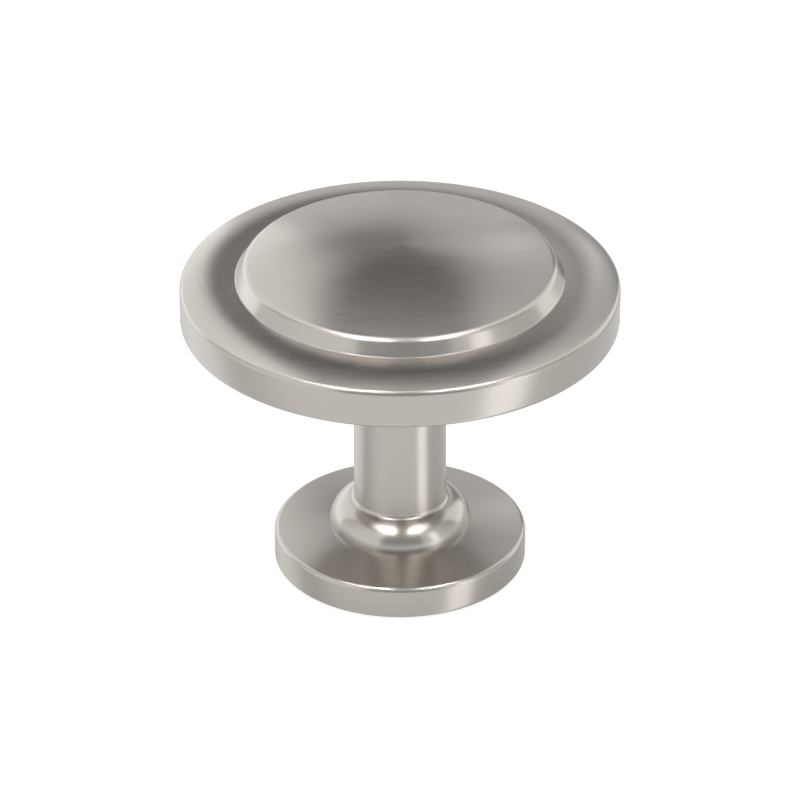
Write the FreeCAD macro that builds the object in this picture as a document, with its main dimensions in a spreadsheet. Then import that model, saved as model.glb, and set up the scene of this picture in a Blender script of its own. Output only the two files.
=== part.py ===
import FreeCAD, Part
import math
import os
import Sketcher

# Cabinet knob, cast in one piece: a round base plate that rises gently to a bead at the foot of a
# plain stem, and a stepped head on top, with a straight rim, a shoulder whose outer part curves down
# like a crown, and a domed boss with a leaning wall.
# Millimetres. +Z is the turning axis and points from the door to the head. The origin is the centre
# of the mounting face.

# Driving dimensions, each one free to change by itself.
SIZES = {
    # Head
    "head_diameter": 32.0,        # across the rim
    "grip_height": 20.0,          # mounting face to the underside of the head
    "rim_height": 2.92,           # underside of the head to the outer edge of the shoulder
    "shoulder_rise": 0.485,       # outer edge of the shoulder to its level ring
    "shoulder_level_width": 1.09, # level ring between the shoulder's crown and the boss
    "boss_diameter": 23.86,       # across the foot of the boss
    "boss_taper": 0.64,           # how far the boss's wall leans in on its way up
    "boss_wall_height": 1.115,    # foot of the boss to the edge of the dome
    "dome_rise": 1.56,            # edge of the dome to its middle
    # Stem, and the bead at its foot
    "stem_diameter": 6.8,
    "bead_diameter": 10.54,       # across the round of the bead, whose lower part is in the plate
    "bead_round_radius": 2.1,
    "bead_height": 1.01,          # top of the plate at the stem to the top of the bead
    # Base plate
    "base_diameter": 18.6,
    "base_edge_height": 2.48,     # mounting face to the outer edge of the plate's top
    "base_rise": 0.73,            # outer edge of the plate's top to the stem
    "seat_ring_width": 1.4,       # flat ring that bears on the door
    "relief_depth": 0.5,          # hollow inside that ring
    # Tapped hole for a No. 8-32 screw: the bore is the tapping drill's
    "tap_drill_diameter": 3.454,
    "drill_depth": 12.5,          # floor of the hollow to the end of the full bore
    "drill_point_angle": 118.0,
    "hole_mouth_diameter": 4.6,   # across the countersink
    # Edges
    "stem_top_fillet_radius": 1.0,
    "rim_edge_bevel": 0.24,
    "head_underside_bevel": 0.2,
    "base_edge_bevel": 0.24,
    "base_foot_bevel": 0.18,
}

# Places worked out from the sizes.
PLACES = {
    "head_radius": "=sizes.head_diameter / 2",
    "rim_top": "=sizes.grip_height + sizes.rim_height",
    "boss_foot": "=rim_top + sizes.shoulder_rise",
    "boss_top": "=boss_foot + sizes.boss_wall_height",
    "dome_top": "=boss_top + sizes.dome_rise",
    "boss_foot_radius": "=sizes.boss_diameter / 2",
    "boss_top_radius": "=boss_foot_radius - sizes.boss_taper",
    "dome_radius": "=(boss_top_radius ^ 2 + sizes.dome_rise ^ 2) / (2 * sizes.dome_rise)",
    "crown_top_radius": "=boss_foot_radius + sizes.shoulder_level_width",
    "shoulder_radius": "=head_radius - sizes.rim_edge_bevel",
    "crown_width": "=shoulder_radius - crown_top_radius",
    "crown_radius": "=(crown_width ^ 2 + sizes.shoulder_rise ^ 2) / (2 * sizes.shoulder_rise)",
    "stem_radius": "=sizes.stem_diameter / 2",
    "base_radius": "=sizes.base_diameter / 2",
    "plate_top_radius": "=base_radius - sizes.base_edge_bevel",
    "plate_top_at_stem": "=sizes.base_edge_height + sizes.base_rise",
    "bead_radius": "=sizes.bead_diameter / 2",
    "bead_top": "=plate_top_at_stem + sizes.bead_height",
    "bead_foot": "=bead_top - sizes.bead_round_radius",
    "bead_top_radius": "=bead_radius - sizes.bead_round_radius",
    "relief_radius": "=base_radius - sizes.seat_ring_width",
}

NODE = "knob"
FULL_TURN = 360.0
COUNTERSINK_ANGLE = 90.0
ON_AXIS = "axis"
EDGE_SIZE = {"Fillet": "Radius", "Chamfer": "Size"}
PLACE_TOLERANCE = 1e-4


def fill_sheet(document, name, cells):
    """A sheet with one named cell for each entry."""
    sheet = document.addObject("Spreadsheet::Sheet", name)
    for row, (alias, content) in enumerate(cells.items(), start=1):
        sheet.set(f"A{row}", alias)
        sheet.setAlias(f"B{row}", alias)
        sheet.set(f"B{row}", str(content))
    document.recompute()
    return sheet


def origin_plane(body, role):
    """One of a body's own origin planes."""
    return next(feature for feature in body.Origin.OriginFeatures if feature.Role == role)


def new_sketch(body, name, role):
    """An empty sketch on one of the body's origin planes."""
    sketch = body.newObject("Sketcher::SketchObject", name)
    sketch.AttachmentSupport = [(origin_plane(body, role), "")]
    sketch.MapMode = "FlatFace"
    return sketch


def bind(sketch, constraint, name, expression):
    """Adds a dimension to the sketch and ties it to the sheets."""
    index = sketch.addConstraint(constraint)
    sketch.renameConstraint(index, name)
    sketch.setExpression(f"Constraints.{name}", expression)


def point_in(sheet, corner):
    """A corner's place in its sketch, read through its two expressions."""
    across, up = corner[1:3]
    x = 0.0 if across == ON_AXIS else float(sheet.evalExpression(across))
    y = float(sheet.evalExpression(up))
    return FreeCAD.Vector(x, y, 0)


def arc_between(start, end, radius):
    """The short arc from start to end that bulges away from the turning axis and the mounting face."""
    chord = end - start
    half = chord.Length / 2
    outward = FreeCAD.Vector(chord.y, -chord.x, 0)
    if outward.y < 0:
        outward = outward * -1
    sagitta = radius - math.sqrt(radius ** 2 - half ** 2)
    return Part.Arc(start, (start + end) / 2 + outward.normalize() * sagitta, end)


def turned_outline(body, name, sheet, corners):
    """A closed outline in the plane through the turning axis.

    Each corner is its name, its distance from the axis, its height and, where the stretch to the next
    corner is an arc, that arc's radius.
    """
    sketch = new_sketch(body, name, "XZ_Plane")
    points = [point_in(sheet, corner) for corner in corners]
    starts = []
    ends = []
    for index, corner in enumerate(corners):
        start = points[index]
        end = points[(index + 1) % len(points)]
        if len(corner) > 3:
            radius = float(sheet.evalExpression(corner[3]))
            geometry = sketch.addGeometry(arc_between(start, end, radius), False)
            bind(sketch, Sketcher.Constraint("Radius", geometry, radius), f"{corner[0]}_arc", corner[3])
        else:
            geometry = sketch.addGeometry(Part.LineSegment(start, end), False)
        forward = sketch.getPoint(geometry, 1).distanceToPoint(start) < PLACE_TOLERANCE
        starts.append((geometry, 1 if forward else 2))
        ends.append((geometry, 2 if forward else 1))
    for index, corner in enumerate(corners):
        label, across, up = corner[:3]
        start = starts[index]
        sketch.addConstraint(Sketcher.Constraint("Coincident", *ends[index - 1], *start))
        if across == ON_AXIS:
            sketch.addConstraint(Sketcher.Constraint("PointOnObject", *start, -2))
        else:
            distance = Sketcher.Constraint("DistanceX", -1, 1, *start, points[index].x)
            bind(sketch, distance, f"{label}_across", across)
        if points[index].y == 0:
            sketch.addConstraint(Sketcher.Constraint("PointOnObject", *start, -1))
        else:
            height = Sketcher.Constraint("DistanceY", -1, 1, *start, points[index].y)
            bind(sketch, height, f"{label}_up", up)
    return sketch


def turn(body, kind, name, sketch):
    """A full turn of the sketch about the knob's axis, added to the body or cut from it."""
    feature = body.newObject(f"PartDesign::{kind}", name)
    feature.Profile = sketch
    feature.ReferenceAxis = (sketch, ["V_Axis"])
    feature.Angle = FULL_TURN
    body.Document.recompute()
    return feature


def ring_edge(shape, radius, height):
    """The name of the round edge of that radius and height about the knob's axis."""
    for number, edge in enumerate(shape.Edges, start=1):
        curve = edge.Curve
        if not isinstance(curve, Part.Circle):
            continue
        if abs(curve.Radius - radius) < PLACE_TOLERANCE and abs(curve.Center.z - height) < PLACE_TOLERANCE:
            return f"Edge{number}"
    raise RuntimeError(f"no edge of radius {radius} at height {height}")


def dress_edge(body, kind, name, radius, height, size):
    """Rounds or bevels one ring edge of the body, by a size kept in the sheet."""
    base = body.Tip
    feature = body.newObject(f"PartDesign::{kind}", name)
    feature.Base = (base, [ring_edge(base.Shape, radius, height)])
    feature.setExpression(EDGE_SIZE[kind], f"sizes.{size}")
    body.Document.recompute()
    return feature


def add_base_plate(body, places):
    """The plate that sits on the door, rising from its edge to the stem."""
    corners = [
        ("middle", ON_AXIS, "0"),
        ("foot", "places.base_radius", "0"),
        ("side_top", "places.base_radius", "sizes.base_edge_height - sizes.base_edge_bevel"),
        ("edge", "places.plate_top_radius", "sizes.base_edge_height"),
        ("stem_side", "places.stem_radius", "places.plate_top_at_stem"),
        ("core", ON_AXIS, "places.plate_top_at_stem"),
    ]
    turn(body, "Revolution", "base_plate", turned_outline(body, "base_plate_outline", places, corners))
    dress_edge(body, "Chamfer", "base_foot", places.base_radius, 0.0, "base_foot_bevel")


def add_stem(body, places):
    """The plain round stem, from the mounting face to the underside of the head."""
    sketch = new_sketch(body, "stem_section", "XY_Plane")
    circle = Part.Circle(FreeCAD.Vector(0, 0, 0), FreeCAD.Vector(0, 0, 1), places.stem_radius)
    geometry = sketch.addGeometry(circle, False)
    sketch.addConstraint(Sketcher.Constraint("Coincident", geometry, 3, -1, 1))
    diameter = Sketcher.Constraint("Diameter", geometry, 2 * places.stem_radius)
    bind(sketch, diameter, "stem_width", "sizes.stem_diameter")
    stem = body.newObject("PartDesign::Pad", "stem")
    stem.Profile = sketch
    stem.setExpression("Length", "sizes.grip_height")
    body.Document.recompute()


def add_bead(body, places):
    """The bead at the foot of the stem: a quarter round whose lower part is sunk in the plate."""
    corners = [
        ("core_foot", ON_AXIS, "places.bead_foot"),
        ("foot", "places.bead_radius", "places.bead_foot", "sizes.bead_round_radius"),
        ("top", "places.bead_top_radius", "places.bead_top"),
        ("core_top", ON_AXIS, "places.bead_top"),
    ]
    turn(body, "Revolution", "bead", turned_outline(body, "bead_outline", places, corners))


def add_head(body, places):
    """The stepped head: a straight rim, the shoulder, the boss's leaning wall and the dome on it."""
    corners = [
        ("core", ON_AXIS, "sizes.grip_height"),
        ("rim_foot", "places.head_radius", "sizes.grip_height"),
        ("rim_edge", "places.head_radius", "places.rim_top - sizes.rim_edge_bevel"),
        ("shoulder_edge", "places.shoulder_radius", "places.rim_top", "places.crown_radius"),
        ("crown_top", "places.crown_top_radius", "places.boss_foot"),
        ("boss_foot", "places.boss_foot_radius", "places.boss_foot"),
        ("dome_edge", "places.boss_top_radius", "places.boss_top", "places.dome_radius"),
        ("dome_top", ON_AXIS, "places.dome_top"),
    ]
    turn(body, "Revolution", "head", turned_outline(body, "head_outline", places, corners))
    underside = body.Document.sizes.grip_height
    dress_edge(body, "Fillet", "stem_top", places.stem_radius, underside, "stem_top_fillet_radius")
    dress_edge(body, "Chamfer", "head_underside", places.head_radius, underside, "head_underside_bevel")


def cut_relief(body, places):
    """The shallow hollow under the base plate, which leaves a flat ring to bear on the door."""
    corners = [
        ("middle", ON_AXIS, "0"),
        ("ring_side", "places.relief_radius", "0"),
        ("ceiling_side", "places.relief_radius", "sizes.relief_depth"),
        ("ceiling", ON_AXIS, "sizes.relief_depth"),
    ]
    turn(body, "Groove", "relief", turned_outline(body, "relief_outline", places, corners))


def drill_screw_hole(body, places):
    """The blind hole up the stem for the mounting screw, drilled to tapping size and countersunk."""
    sketch = new_sketch(body, "screw_hole_place", "XY_Plane")
    sketch.setExpression("AttachmentOffset.Base.z", "sizes.relief_depth")
    sizes = body.Document.sizes
    circle = Part.Circle(FreeCAD.Vector(0, 0, 0), FreeCAD.Vector(0, 0, 1), sizes.tap_drill_diameter / 2)
    geometry = sketch.addGeometry(circle, False)
    sketch.addConstraint(Sketcher.Constraint("Coincident", geometry, 3, -1, 1))
    diameter = Sketcher.Constraint("Diameter", geometry, sizes.tap_drill_diameter)
    bind(sketch, diameter, "drill_width", "sizes.tap_drill_diameter")
    hole = body.newObject("PartDesign::Hole", "screw_hole")
    hole.Profile = sketch
    body.Document.recompute()
    hole.Reversed = True
    hole.DepthType = "Dimension"
    hole.DrillPoint = "Angled"
    hole.HoleCutType = "Countersink"
    hole.HoleCutCountersinkAngle = COUNTERSINK_ANGLE
    hole.setExpression("Diameter", "sizes.tap_drill_diameter")
    hole.setExpression("Depth", "sizes.drill_depth")
    hole.setExpression("DrillPointAngle", "sizes.drill_point_angle")
    hole.setExpression("HoleCutDiameter", "sizes.hole_mouth_diameter")
    body.Document.recompute()


def build_knob(document, places):
    """The knob's one solid, built up from the door and then hollowed and drilled from below."""
    body = document.addObject("PartDesign::Body", NODE)
    body.Label = NODE
    body.Placement = FreeCAD.Placement()
    add_base_plate(body, places)
    add_stem(body, places)
    add_bead(body, places)
    add_head(body, places)
    before = body.Shape.Volume
    cut_relief(body, places)
    relieved = body.Shape.Volume
    drill_screw_hole(body, places)
    drilled = body.Shape.Volume
    print(f"volume {drilled:.1f}, hollow {before - relieved:.1f}, hole {relieved - drilled:.1f}")
    if not before > relieved > drilled:
        raise RuntimeError("the hollow or the hole under the base cut nothing")
    return body


def check(document, body):
    """Stops if any object failed to compute or the knob isn't one sound solid."""
    for item in document.Objects:
        if {"Invalid", "Error"} & set(item.State):
            raise RuntimeError(f"{item.Name} failed: {item.State}")
    shape = body.Shape
    if shape.isNull() or not shape.isValid() or len(shape.Solids) != 1:
        raise RuntimeError("the knob isn't one valid solid")


def main():
    """Builds the knob, checks it and writes its STEP file."""
    document = FreeCAD.newDocument("cabinet_knob")
    fill_sheet(document, "sizes", SIZES)
    places = fill_sheet(document, "places", PLACES)
    body = build_knob(document, places)
    document.recompute()
    check(document, body)
    os.makedirs("parts", exist_ok=True)
    body.Shape.exportStep(os.path.join("parts", f"{body.Label}.step"))
    box = body.Shape.optimalBoundingBox(True, False)
    print(f"{body.Label}: {box.XLength:.3f} x {box.YLength:.3f} x {box.ZLength:.3f}, lowest {box.ZMin:.3f}")


main()
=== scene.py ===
"""Looks of a satin nickel cabinet knob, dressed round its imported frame."""

import logging
import math
from dataclasses import dataclass, field
from enum import Enum

import bmesh
import bpy
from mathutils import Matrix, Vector


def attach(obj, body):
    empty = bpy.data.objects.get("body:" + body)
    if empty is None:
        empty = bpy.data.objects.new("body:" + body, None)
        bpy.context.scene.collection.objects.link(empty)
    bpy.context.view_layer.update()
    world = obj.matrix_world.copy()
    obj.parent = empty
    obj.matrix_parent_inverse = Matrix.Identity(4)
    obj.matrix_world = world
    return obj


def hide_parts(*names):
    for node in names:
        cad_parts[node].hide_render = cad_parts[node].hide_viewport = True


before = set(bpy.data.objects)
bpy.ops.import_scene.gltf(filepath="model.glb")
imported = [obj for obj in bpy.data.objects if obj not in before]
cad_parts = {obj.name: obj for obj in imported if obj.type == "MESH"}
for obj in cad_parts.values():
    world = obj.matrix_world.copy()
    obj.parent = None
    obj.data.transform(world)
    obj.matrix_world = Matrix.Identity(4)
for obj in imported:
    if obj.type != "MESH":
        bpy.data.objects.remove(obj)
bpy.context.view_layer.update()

LOG = logging.getLogger("cabinet_knob")
METRES_PER_MM = 0.001
AXIS_Z = (0.0, 0.0, 1.0)
AXIS_Y = (0.0, 1.0, 0.0)
MERGE_MM = 1e-4
SHARP_ANGLE = math.radians(32.0)

Point = tuple[float, float]


class Bend(Enum):
    """Which way an arc of an outline is turned about its centre, seen with +X to the right and +Z up."""

    CLOCKWISE = 1.0
    COUNTERCLOCKWISE = -1.0


class Outline:
    """A wire in the plane through the knob's axis, drawn in millimetres and spun into a solid's skin."""

    def __init__(self, start: Point) -> None:
        """Starts the wire.

        Args:
            start: distance from the axis and height of its first point.
        """
        self.mesh = bmesh.new()
        self.last = self.mesh.verts.new((start[0], 0.0, start[1]))
        self.rounded: list[tuple[bmesh.types.BMVert, float, int]] = []

    def line_to(self, point: Point, radius: float = 0.0, segments: int = 6) -> None:
        """Draws a straight stretch.

        Args:
            point: where it ends.
            radius: how far the corner there is rounded, once the wire is whole.
            segments: facets across that rounding.
        """
        corner = self.mesh.verts.new((point[0], 0.0, point[1]))
        self.mesh.edges.new((self.last, corner))
        self.last = corner
        if radius > 0.0:
            self.rounded.append((corner, radius, segments))

    def arc_by(self, centre: Point, angle: float, bend: Bend, steps: int) -> None:
        """Draws an arc from the wire's last point.

        Args:
            centre: the arc's centre.
            angle: how far it turns, in radians.
            bend: the way that it turns.
            steps: facets along it.
        """
        turned = bmesh.ops.spin(
            self.mesh,
            geom=[self.last],
            cent=(centre[0], 0.0, centre[1]),
            axis=AXIS_Y,
            angle=angle * bend.value,
            steps=steps,
        )
        self.last = next(item for item in turned["geom_last"] if isinstance(item, bmesh.types.BMVert))

    def round_here(self, radius: float, segments: int = 6) -> None:
        """Marks the wire's last point as a corner that is rounded to a radius."""
        self.rounded.append((self.last, radius, segments))

    def round_corners(self) -> None:
        """Rounds every marked corner with an arc that meets both of its stretches smoothly."""
        for corner, radius, segments in self.rounded:
            first, second = (edge.other_vert(corner).co - corner.co for edge in corner.link_edges)
            turn = math.pi - first.angle(second)
            bmesh.ops.bevel(
                self.mesh,
                geom=[corner],
                offset=radius * math.tan(turn / 2),
                offset_type="OFFSET",
                segments=segments,
                profile=0.5,
                affect="VERTICES",
                clamp_overlap=False,
                material=-1,
            )

    def spin(self, segments: int) -> bmesh.types.BMesh:
        """Turns the wire once round the knob's axis.

        Args:
            segments: facets round the axis.

        Returns:
            The closed skin, its poles merged and its faces pointing outwards, in millimetres.
        """
        self.round_corners()
        bmesh.ops.spin(
            self.mesh,
            geom=self.mesh.verts[:] + self.mesh.edges[:],
            cent=(0.0, 0.0, 0.0),
            axis=AXIS_Z,
            angle=math.tau,
            steps=segments,
            use_merge=True,
        )
        bmesh.ops.remove_doubles(self.mesh, verts=self.mesh.verts, dist=MERGE_MM)
        bmesh.ops.recalc_face_normals(self.mesh, faces=self.mesh.faces)
        return self.mesh


def finished_object(name: str, mesh: bmesh.types.BMesh, material: bpy.types.Material) -> bpy.types.Object:
    """Makes an object of a skin drawn in millimetres, smooth apart from its real creases.

    Args:
        name: the piece's name.
        mesh: the skin, which is used up.
        material: its finish.

    Returns:
        The object, at the origin, in metres.
    """
    bmesh.ops.scale(mesh, vec=(METRES_PER_MM,) * 3, verts=mesh.verts)
    for face in mesh.faces:
        face.smooth = True
    for edge in mesh.edges:
        edge.smooth = len(edge.link_faces) == 2 and edge.calc_face_angle() < SHARP_ANGLE
    data = bpy.data.meshes.new(name)
    mesh.to_mesh(data)
    mesh.free()
    data.materials.append(material)
    piece = bpy.data.objects.new(name, data)
    bpy.context.scene.collection.objects.link(piece)
    return piece


class NodeGraph:
    """A node tree with short calls for the nodes that the finishes use."""

    def __init__(self, tree: bpy.types.NodeTree) -> None:
        """Takes over a node tree and empties it."""
        self.tree = tree
        self.tree.nodes.clear()

    def add(self, kind: str, **settings: object) -> bpy.types.Node:
        """Adds a node.

        Args:
            kind: the node's class name, without its leading ShaderNode.
            settings: attributes to set on it.

        Returns:
            The node.
        """
        node = self.tree.nodes.new(f"ShaderNode{kind}")
        for name, value in settings.items():
            setattr(node, name, value)
        return node

    def link(self, source: bpy.types.NodeSocket, target: bpy.types.NodeSocket) -> None:
        """Joins an output to an input."""
        self.tree.links.new(source, target)

    def length(self, x: bpy.types.NodeSocket, y: bpy.types.NodeSocket) -> bpy.types.NodeSocket:
        """Works out how long a level direction is from its two parts."""
        return self.math("SQRT", self.math("ADD", self.math("POWER", x, 2.0), self.math("POWER", y, 2.0)))

    def math(self, operation: str, first: object, second: object = None) -> bpy.types.NodeSocket:
        """Adds a Math node.

        Args:
            operation: its operation.
            first: a number or an output.
            second: a number or an output, if the operation takes two.

        Returns:
            Its result.
        """
        node = self.add("Math", operation=operation)
        for socket, value in zip(node.inputs, (first, second)):
            if isinstance(value, bpy.types.NodeSocket):
                self.link(value, socket)
            elif value is not None:
                socket.default_value = value
        return node.outputs[0]


@dataclass(frozen=True)
class SatinNickel:
    """Nickel plate with fine brush lines. Lengths in metres."""

    color: tuple[float, float, float] = (0.475, 0.447, 0.413)
    roughness: float = 0.24
    anisotropy: float = 0.65
    lines_per_metre: float = 5000.0
    line_break: float = 0.7
    straight_break: float = 150.0
    line_depth: float = 2.8e-6
    smoothest: float = 0.8
    roughest: float = 1.2
    level_from: float = 0.4
    level_to: float = 0.8

    def material(self) -> bpy.types.Material:
        """Builds the finish.

        Returns:
            The material, with brush lines that follow the piece's own coordinates.
        """
        material = bpy.data.materials.new("satin_nickel_plate")
        material.use_nodes = True
        graph = NodeGraph(material.node_tree)
        output = graph.add("OutputMaterial")
        shader = graph.add("BsdfPrincipled")
        shader.inputs["Base Color"].default_value = (*self.color, 1.0)
        shader.inputs["Metallic"].default_value = 1.0
        shader.inputs["Anisotropic"].default_value = self.anisotropy
        shader.inputs["Anisotropic Rotation"].default_value = 0.25
        tangent = graph.add("Tangent", direction_type="RADIAL", axis="Z")
        graph.link(tangent.outputs["Tangent"], shader.inputs["Tangent"])
        lines = self.brush_lines(graph)
        bump = graph.add("Bump")
        bump.inputs["Strength"].default_value = 1.0
        bump.inputs["Distance"].default_value = self.line_depth
        graph.link(lines, bump.inputs["Height"])
        graph.link(bump.outputs["Normal"], shader.inputs["Normal"])
        spread = graph.add("MapRange")
        spread.inputs["To Min"].default_value = self.roughness * self.smoothest
        spread.inputs["To Max"].default_value = self.roughness * self.roughest
        graph.link(lines, spread.inputs["Value"])
        graph.link(spread.outputs["Result"], shader.inputs["Roughness"])
        graph.link(shader.outputs["BSDF"], output.inputs["Surface"])
        return material

    def brush_lines(self, graph: NodeGraph) -> bpy.types.NodeSocket:
        """Draws fine broken lines: straight along X on level faces, and round the axis on upright ones.

        Args:
            graph: the material's nodes.

        Returns:
            A height from 0 to 1.
        """
        place = graph.add("TexCoord")
        parts = graph.add("SeparateXYZ")
        graph.link(place.outputs["Object"], parts.inputs["Vector"])
        x, y, z = parts.outputs
        across = graph.math("MAXIMUM", graph.length(x, y), 1e-5)
        sine = graph.math("MULTIPLY", graph.math("DIVIDE", x, across), self.line_break)
        cosine = graph.math("MULTIPLY", graph.math("DIVIDE", y, across), self.line_break)
        rise = graph.math("MULTIPLY", z, self.lines_per_metre)
        depth = graph.math("MULTIPLY", y, self.lines_per_metre)
        upright = self.line_noise(graph, (sine, cosine, rise))
        level = self.line_noise(graph, (graph.math("MULTIPLY", x, self.straight_break), depth, rise))
        facing = graph.add("SeparateXYZ")
        graph.link(place.outputs["Normal"], facing.inputs["Vector"])
        share = graph.add("MapRange")
        share.inputs["From Min"].default_value = self.level_from
        share.inputs["From Max"].default_value = self.level_to
        graph.link(graph.math("ABSOLUTE", facing.outputs["Z"]), share.inputs["Value"])
        lines = graph.add("Mix", data_type="FLOAT")
        graph.link(share.outputs["Result"], lines.inputs[0])
        graph.link(upright, lines.inputs[2])
        graph.link(level, lines.inputs[3])
        return lines.outputs[0]

    @staticmethod
    def line_noise(graph: NodeGraph, place: tuple[bpy.types.NodeSocket, ...]) -> bpy.types.NodeSocket:
        """Adds noise that is read at stretched coordinates.

        Args:
            graph: the material's nodes.
            place: the three coordinates.

        Returns:
            A height from 0 to 1.
        """
        row = graph.add("CombineXYZ")
        for value, socket in zip(place, row.inputs):
            graph.link(value, socket)
        noise = graph.add("TexNoise")
        noise.inputs["Scale"].default_value = 1.0
        noise.inputs["Detail"].default_value = 3.0
        noise.inputs["Roughness"].default_value = 0.6
        graph.link(row.outputs["Vector"], noise.inputs["Vector"])
        return noise.outputs["Fac"]


@dataclass
class KnobCasting:
    """The knob's one casting: base plate, bead, stem and stepped head. Sizes in millimetres."""

    head_radius: float = 16.0
    grip_height: float = 20.0
    rim_top: float = 22.83
    shoulder_top: float = 23.405
    crown_top_radius: float = 13.02
    boss_foot_radius: float = 11.93
    boss_top_radius: float = 11.29
    boss_top: float = 24.52
    dome_rise: float = 1.56
    stem_radius: float = 3.4
    bead_radius: float = 5.18
    bead_round: float = 1.9
    bead_top: float = 4.95
    base_radius: float = 9.3
    base_edge_top: float = 2.45
    plate_top_at_stem: float = 3.21
    relief_radius: float = 7.9
    relief_depth: float = 0.5
    rim_edge: float = 0.4
    underside_edge: float = 0.35
    boss_edge: float = 0.62
    boss_foot_cove: float = 0.1
    stem_top_fillet: float = 1.0
    stem_foot_fillet: float = 0.3
    base_edge: float = 0.4
    base_foot: float = 0.3
    relief_corner: float = 0.15
    thread_runout: float = 0.3
    bead_last_turn: float = 0.16
    mouth_radius: float = 2.3
    thread_root_radius: float = 2.083
    thread_top: float = 11.2
    bore_radius: float = 1.727
    bore_top: float = 13.0
    point_half_angle: float = math.radians(59.0)
    segments: int = 192
    finish: SatinNickel = field(default_factory=SatinNickel)

    def outline(self) -> Outline:
        """Draws half of the casting's section, from the drill point round to the middle of the dome.

        Returns:
            The wire.
        """
        wire = Outline((0.0, self.bore_top + self.bore_radius / math.tan(self.point_half_angle)))
        self.draw_hole(wire)
        self.draw_base(wire)
        self.draw_bead(wire)
        self.draw_head(wire)
        return wire

    def draw_hole(self, wire: Outline) -> None:
        """Draws the blind hole from its point down to the hollow under the base.

        Args:
            wire: the outline so far.
        """
        wire.line_to((self.bore_radius, self.bore_top))
        wire.line_to((self.bore_radius, self.thread_top + self.thread_runout))
        wire.line_to((self.thread_root_radius, self.thread_top))
        mouth = self.relief_depth + self.mouth_radius - self.thread_root_radius
        wire.line_to((self.thread_root_radius, mouth))
        wire.line_to((self.mouth_radius, self.relief_depth))

    def draw_base(self, wire: Outline) -> None:
        """Draws the hollow, the seat ring and the base plate's side.

        Args:
            wire: the outline so far.
        """
        wire.line_to((self.relief_radius, self.relief_depth), self.relief_corner, 3)
        wire.line_to((self.relief_radius, 0.0))
        wire.line_to((self.base_radius, 0.0), self.base_foot)
        wire.line_to((self.base_radius, self.base_edge_top), self.base_edge, 8)

    def draw_bead(self, wire: Outline) -> None:
        """Draws the plate's sloping top, the bead and the stem.

        Args:
            wire: the outline so far.
        """
        centre = (self.bead_radius - self.bead_round, self.bead_top - self.bead_round)
        fall = (self.base_edge_top - self.plate_top_at_stem) / (self.base_radius - self.stem_radius)
        across, up = meeting_point((self.base_radius, self.base_edge_top), fall, centre, self.bead_round)
        wire.line_to((across, up))
        start = math.atan2(up - centre[1], across - centre[0])
        end = math.acos((self.stem_radius - centre[0]) / self.bead_round)
        wire.arc_by(centre, end - start - self.bead_last_turn, Bend.COUNTERCLOCKWISE, 20)
        wire.arc_by(centre, self.bead_last_turn, Bend.COUNTERCLOCKWISE, 1)
        wire.round_here(self.stem_foot_fillet)
        wire.line_to((self.stem_radius, self.grip_height), self.stem_top_fillet, 10)

    def draw_head(self, wire: Outline) -> None:
        """Draws the head: its underside, rim, shoulder, boss and dome.

        Args:
            wire: the outline so far.
        """
        wire.line_to((self.head_radius, self.grip_height), self.underside_edge)
        wire.line_to((self.head_radius, self.rim_top), self.rim_edge, 8)
        self.draw_crown(wire, self.crown_top_radius, self.head_radius, self.shoulder_top - self.rim_top, 10)
        wire.line_to((self.boss_foot_radius, self.shoulder_top), self.boss_foot_cove, 8)
        wire.line_to((self.boss_top_radius, self.boss_top), self.boss_edge, 8)
        self.draw_crown(wire, 0.0, self.boss_top_radius, self.dome_rise, 30)

    @staticmethod
    def draw_crown(wire: Outline, middle: float, edge: float, rise: float, steps: int) -> None:
        """Draws a surface that curves up from its edge and is level at its middle.

        Args:
            wire: the outline, which has reached the edge.
            middle: distance of the level place from the axis.
            edge: distance of the edge from the axis.
            rise: height of the level place above the edge.
            steps: facets along the curve.
        """
        width = edge - middle
        radius = (width ** 2 + rise ** 2) / (2 * rise)
        centre = (middle, wire.last.co.z + rise - radius)
        wire.arc_by(centre, math.asin(width / radius), Bend.COUNTERCLOCKWISE, steps)

    def build(self) -> bpy.types.Object:
        """Builds the casting in place of its plain solid.

        Returns:
            The piece.
        """
        piece = finished_object("knob_casting", self.outline().spin(self.segments), self.finish.material())
        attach(piece, "root")
        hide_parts("knob")
        return piece


def meeting_point(start: Point, slope: float, centre: Point, radius: float) -> Point:
    """Where a straight slope, followed inwards from a point, first meets a circle.

    Args:
        start: a point on the slope, outside the circle.
        slope: height gained for each millimetre away from the axis.
        centre: the circle's centre.
        radius: its radius.

    Returns:
        The meeting point.
    """
    offset = start[1] - slope * start[0] - centre[1]
    a = 1 + slope ** 2
    b = 2 * (slope * offset - centre[0])
    c = centre[0] ** 2 + offset ** 2 - radius ** 2
    across = (-b + math.sqrt(b ** 2 - 4 * a * c)) / (2 * a)
    return across, start[1] + slope * (across - start[0])


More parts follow.
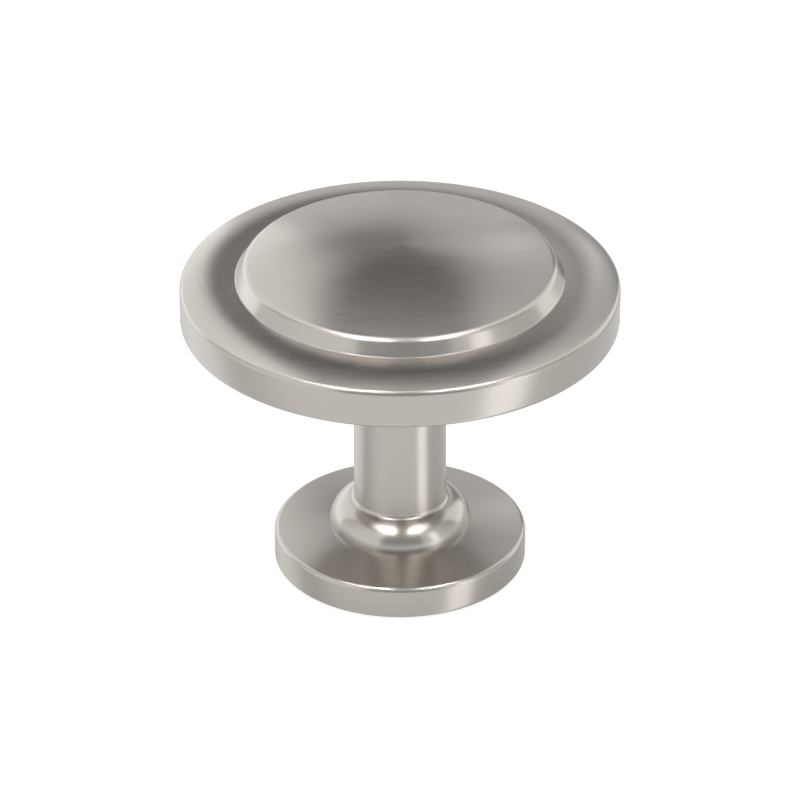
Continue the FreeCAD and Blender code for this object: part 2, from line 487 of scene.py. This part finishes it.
@dataclass
class ScrewThread:
    """The helical ridge inside the blind hole, for a No. 8-32 screw. Sizes in millimetres."""

    pitch: float = 0.79375
    crest_radius: float = 1.727
    root_radius: float = 2.12
    crest_width: float = 0.198
    root_width: float = 0.72
    low: float = 1.15
    high: float = 10.6
    steps_per_turn: int = 40

    def build(self, finish: bpy.types.Material) -> bpy.types.Object:
        """Builds the ridge.

        Args:
            finish: the casting's material.

        Returns:
            The piece.
        """
        mesh = bmesh.new()
        corners = (
            (self.root_radius, -self.root_width / 2),
            (self.crest_radius, -self.crest_width / 2),
            (self.crest_radius, self.crest_width / 2),
            (self.root_radius, self.root_width / 2),
        )
        ring = [mesh.verts.new((across, 0.0, self.low + up)) for across, up in corners]
        start = mesh.faces.new(ring)
        turns = (self.high - self.low) / self.pitch
        steps = round(turns * self.steps_per_turn)
        bmesh.ops.spin(
            mesh,
            geom=[start, *start.edges, *start.verts],
            cent=(0.0, 0.0, 0.0),
            axis=AXIS_Z,
            dvec=(0.0, 0.0, (self.high - self.low) / steps),
            angle=math.tau * turns,
            steps=steps,
        )
        bmesh.ops.recalc_face_normals(mesh, faces=mesh.faces)
        piece = finished_object("screw_thread", mesh, finish)
        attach(piece, "root")
        return piece


@dataclass(frozen=True)
class Softbox:
    """A rectangular studio lamp. Metres, and a brightness in which 1 is white.

    A lamp without a shadow lights what the head would hide from it.
    """

    name: str
    place: tuple[float, float, float]
    aim: tuple[float, float, float]
    width: float
    depth: float
    brightness: float
    shadow: bool = True

    def build(self) -> bpy.types.Object:
        """Hangs the lamp and points it at its aim.

        Returns:
            The lamp.
        """
        data = bpy.data.lights.new(self.name, "AREA")
        data.shape = "RECTANGLE"
        data.size = self.width
        data.size_y = self.depth
        data.energy = self.brightness * math.pi * self.width * self.depth
        data.use_shadow = self.shadow
        data.cycles.use_multiple_importance_sampling = self.shadow
        lamp = bpy.data.objects.new(self.name, data)
        lamp.location = self.place
        lamp.rotation_euler = (Vector(self.aim) - Vector(self.place)).to_track_quat("-Z", "Y").to_euler()
        bpy.context.scene.collection.objects.link(lamp)
        return lamp


@dataclass(frozen=True)
class Shade:
    """One stop of the backdrop's tone: the height of the direction, from -1 to 1, and its brightness."""

    height: float
    brightness: float


@dataclass(frozen=True)
class PaintedSheen:
    """A painted sheen: a fan of directions in which the floor glows brighter in reflections only, painting
    bright streaks on the metal where no lamp is. Degrees from +Y towards +X.
    """

    azimuth: float
    half_width: float
    softness: float
    brightness: float


@dataclass
class Studio:
    """Pale floor with painted sheens that only reflections see, toned surroundings and softboxes. Metres.
    """

    floor_radius: float = 1.8
    floor_color: float = 0.64
    floor_glow: float = 0.4
    floor_segments: int = 96
    side_blend: float = 0.3
    painted_sheens: tuple[PaintedSheen, ...] = (
        PaintedSheen(180.0, 70.0, 20.0, 0.24),
        PaintedSheen(123.0, 9.0, 8.0, 0.7),
        PaintedSheen(-52.0, 20.0, 12.0, 0.36),
    )
    behind: tuple[Shade, ...] = (
        Shade(0.0, 0.5),
        Shade(0.12, 0.4),
        Shade(0.3, 0.3),
        Shade(0.45, 0.1),
        Shade(0.7, 0.11),
        Shade(0.82, 0.3),
        Shade(0.9, 0.42),
        Shade(0.96, 0.8),
        Shade(1.0, 1.15),
    )
    before: tuple[Shade, ...] = (
        Shade(0.0, 0.6),
        Shade(0.25, 0.42),
        Shade(0.9, 0.42),
        Shade(0.96, 0.8),
        Shade(1.0, 1.15),
    )
    softboxes: tuple[Softbox, ...] = (
        Softbox("left_back", (-0.275, 0.8, 0.52), (0.0, 0.8, 0.52), 1.4, 1.04, 1.15),
        Softbox("left_front", (-0.3, -0.2, 0.4), (0.0, -0.2, 0.4), 0.6, 0.8, 0.65),
        Softbox("right_back", (0.27, 1.0, 0.7), (0.0, 1.0, 0.7), 1.0, 0.8, 0.64),
        Softbox("right_middle", (0.3, 0.3, 0.56), (0.0, 0.3, 0.56), 0.4, 1.08, 1.1),
        Softbox("right_front", (0.3, -0.15, 0.4), (0.0, -0.15, 0.4), 0.5, 0.8, 0.45),
        Softbox("right_strip", (0.25, -0.155, 0.12), (0.0, 0.0, 0.02), 0.07, 0.2, 1.0),
        Softbox("back_middle", (-0.02, 1.5, 0.36), (-0.02, 0.0, 0.36), 0.56, 0.5, 0.48),
        Softbox("back_left", (-0.17, 1.5, 0.12), (-0.17, 0.0, 0.12), 0.3, 0.24, 0.25),
        Softbox("back_right", (0.19, 1.5, 0.72), (0.19, 0.0, 0.72), 0.32, 0.48, 0.58),
        Softbox("over_left", (-0.22, -0.24, 0.8), (-0.22, -0.24, 0.0), 0.32, 0.64, 3.2, False),
        Softbox("over_right", (0.28, -0.24, 0.8), (0.28, -0.24, 0.0), 0.28, 0.64, 3.1, False),
    )

    def build(self) -> None:
        """Sets up the floor, the surroundings and the lamps."""
        self.build_floor()
        self.build_surroundings()
        for softbox in self.softboxes:
            softbox.build()

    def build_floor(self) -> bpy.types.Object:
        """Lays the floor, which is white to the camera and glows in painted sheens by direction in
        reflections.

        Returns:
            The floor.
        """
        mesh = bmesh.new()
        bmesh.ops.create_circle(mesh, cap_ends=True, radius=self.floor_radius, segments=self.floor_segments)
        data = bpy.data.meshes.new("studio_floor")
        mesh.to_mesh(data)
        mesh.free()
        data.materials.append(self.floor_material())
        floor = bpy.data.objects.new("studio_floor", data)
        bpy.context.scene.collection.objects.link(floor)
        return floor

    def floor_material(self) -> bpy.types.Material:
        """Builds the floor's paper: matt, with a glow that only the camera and reflections see; the glow in
        reflections is painted sheen.

        Returns:
            The material.
        """
        material = bpy.data.materials.new("floor_paper")
        material.use_nodes = True
        graph = NodeGraph(material.node_tree)
        output = graph.add("OutputMaterial")
        paper = graph.add("BsdfDiffuse")
        paper.inputs["Color"].default_value = (self.floor_color,) * 3 + (1.0,)
        glow = graph.add("Emission")
        ray = graph.add("LightPath")
        seen = graph.math("MAXIMUM", ray.outputs["Is Camera Ray"], ray.outputs["Is Transmission Ray"])
        straight = graph.math("MULTIPLY", seen, self.floor_glow)
        # painted reflection: the floor glows for reflected rays only, in fans by direction, standing in for
        # lamp light on the metal
        mirrored_painted_glow = graph.math("MULTIPLY", ray.outputs["Is Glossy Ray"], self.painted_reflection_glow(graph))
        graph.link(graph.math("ADD", straight, mirrored_painted_glow), glow.inputs["Strength"])
        both = graph.add("AddShader")
        graph.link(paper.outputs["BSDF"], both.inputs[0])
        graph.link(glow.outputs["Emission"], both.inputs[1])
        graph.link(both.outputs["Shader"], output.inputs["Surface"])
        return material

    def painted_reflection_glow(self, graph: NodeGraph) -> bpy.types.NodeSocket:
        """Adds up the floor's painted sheens, a glow that paints bright streaks on the metal in
        reflections.

        Args:
            graph: the floor's nodes.

        Returns:
            How brightly the painted sheens make the floor glow in a reflection, by the direction from which
            it is seen.
        """
        parts = graph.add("SeparateXYZ")
        graph.link(graph.add("NewGeometry").outputs["Incoming"], parts.inputs["Vector"])
        x, y, _ = parts.outputs
        away = graph.length(x, y)
        total = 0.0
        for painted_sheen in self.painted_sheens:
            turn = math.radians(painted_sheen.azimuth + 180.0)
            east = graph.math("MULTIPLY", x, math.sin(turn))
            north = graph.math("MULTIPLY", y, math.cos(turn))
            along = graph.math("ADD", east, north)
            fan = graph.add("MapRange", interpolation_type="SMOOTHSTEP")
            fan.inputs["From Min"].default_value = math.cos(math.radians(painted_sheen.half_width + painted_sheen.softness))
            fan.inputs["From Max"].default_value = math.cos(math.radians(painted_sheen.half_width - painted_sheen.softness))
            fan.inputs["To Max"].default_value = painted_sheen.brightness
            graph.link(graph.math("DIVIDE", along, away), fan.inputs["Value"])
            total = graph.math("ADD", fan.outputs["Result"], total)
        return total

    def build_surroundings(self) -> None:
        """Tones the world by direction, and makes it plain white where the camera looks past the floor."""
        world = bpy.data.worlds.new("studio")
        bpy.context.scene.world = world
        world.use_nodes = True
        graph = NodeGraph(world.node_tree)
        output = graph.add("OutputWorld")
        background = graph.add("Background")
        parts = graph.add("SeparateXYZ")
        graph.link(graph.add("TexCoord").outputs["Generated"], parts.inputs["Vector"])
        side = graph.add("MapRange", interpolation_type="SMOOTHSTEP")
        side.inputs["From Min"].default_value = -self.side_blend
        side.inputs["From Max"].default_value = self.side_blend
        graph.link(parts.outputs["Y"], side.inputs["Value"])
        toned = graph.add("Mix", data_type="RGBA")
        graph.link(side.outputs["Result"], toned.inputs[0])
        graph.link(self.tone(graph, parts.outputs["Z"], self.before), toned.inputs[6])
        graph.link(self.tone(graph, parts.outputs["Z"], self.behind), toned.inputs[7])
        ray = graph.add("LightPath")
        white = graph.add("Mix", data_type="RGBA")
        seen = graph.math("MAXIMUM", ray.outputs["Is Camera Ray"], ray.outputs["Is Transmission Ray"])
        graph.link(seen, white.inputs[0])
        graph.link(toned.outputs[2], white.inputs[6])
        white.inputs[7].default_value = (1.0, 1.0, 1.0, 1.0)
        graph.link(white.outputs[2], background.inputs["Color"])
        graph.link(background.outputs["Background"], output.inputs["Surface"])

    @staticmethod
    def tone(
        graph: NodeGraph, height: bpy.types.NodeSocket, shades: tuple[Shade, ...]
    ) -> bpy.types.NodeSocket:
        """Turns the height of a direction into a grey.

        Args:
            graph: the world's nodes.
            height: the direction's height, from -1 to 1.
            shades: the stops, lowest first.

        Returns:
            The grey.
        """
        ramp = graph.add("ValToRGB")
        stops = ramp.color_ramp.elements
        stops[0].position, stops[1].position = 0.0, 1.0
        for shade in shades[1:-1]:
            stops.new(shade.height)
        for stop, shade in zip(stops, shades):
            stop.position = shade.height
            stop.color = (shade.brightness,) * 3 + (1.0,)
        graph.link(height, ramp.inputs["Fac"])
        return ramp.outputs["Color"]


@dataclass(frozen=True)
class PhotoCamera:
    """The camera that sees the knob as the photograph does. Metres and degrees."""

    elevation: float = 30.115
    distance: float = 0.426
    lens: float = 261.5
    target_height: float = 0.013075

    def build(self) -> bpy.types.Object:
        """Places the camera.

        Returns:
            The camera.
        """
        data = bpy.data.cameras.new("photo_camera")
        data.sensor_width = 36.0
        data.lens = self.lens
        data.clip_start, data.clip_end = 0.01, 20.0
        camera = bpy.data.objects.new("photo_camera", data)
        lift = math.radians(self.elevation)
        back = self.distance * math.cos(lift)
        up = self.target_height + self.distance * math.sin(lift)
        camera.location = (0.0, -back, up)
        camera.rotation_euler = (math.pi / 2 - lift, 0.0, 0.0)
        bpy.context.scene.collection.objects.link(camera)
        bpy.context.scene.camera = camera
        return camera


def main() -> None:
    """Builds the knob, the studio and the camera, in that order."""
    logging.basicConfig(level=logging.INFO, format="%(name)s: %(message)s")
    bpy.context.scene.view_settings.view_transform = "Standard"
    casting = KnobCasting().build()
    LOG.info("built %s, %d faces", casting.name, len(casting.data.polygons))
    thread = ScrewThread().build(casting.data.materials[0])
    LOG.info("built %s, %d faces", thread.name, len(thread.data.polygons))
    Studio().build()
    LOG.info("built the studio")
    PhotoCamera().build()
    LOG.info("placed the camera")


if __name__ == "__main__":
    main()
